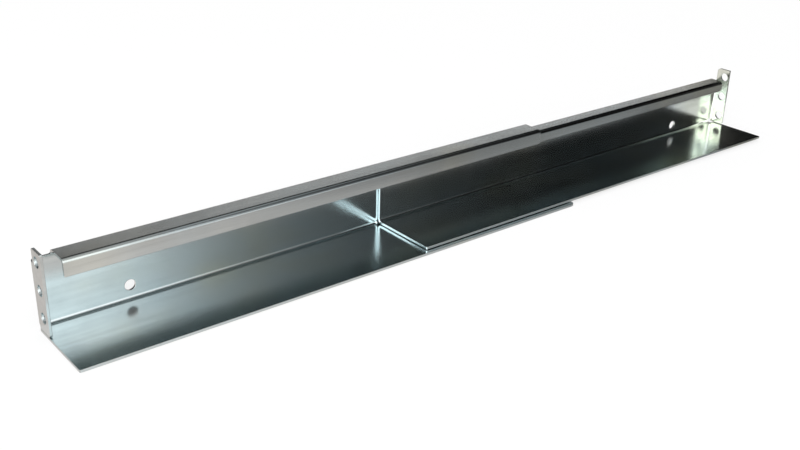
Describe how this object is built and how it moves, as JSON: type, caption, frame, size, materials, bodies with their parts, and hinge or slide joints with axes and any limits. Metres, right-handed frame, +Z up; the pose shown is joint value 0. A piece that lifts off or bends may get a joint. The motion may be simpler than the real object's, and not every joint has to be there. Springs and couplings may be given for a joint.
{
  "type": "telescoping rack rail",
  "caption": "Telescoping support rail for rack equipment: nested L-shaped folded steel rails with a lipped cover, each ending in an ear with a column of screw holes.",
  "frame": {"origin": "middle hole of the front ear, on the ear's outer face, which lies on the front rack post", "axes": "+X along the slide from the front ear to the rear ear, +Y away from the shelf towards the rack's side, +Z up"},
  "size_m": [0.566, 0.0535, 0.0487],
  "materials": {
    "zinc_plated_sheet": "bright zinc plating on cold-rolled sheet, semi-mirror with fine rolling grain"
  },
  "bodies": {
    "outer": {"outer_rail": "zinc_plated_sheet"},
    "inner": {"inner_rail": "zinc_plated_sheet"}
  },
  "joints": [
    {"name": "telescope", "type": "slide", "parent": "outer", "child": "inner", "axis": [1, 0, 0], "range_m": [-0.2145, 0.078]}
  ]
}
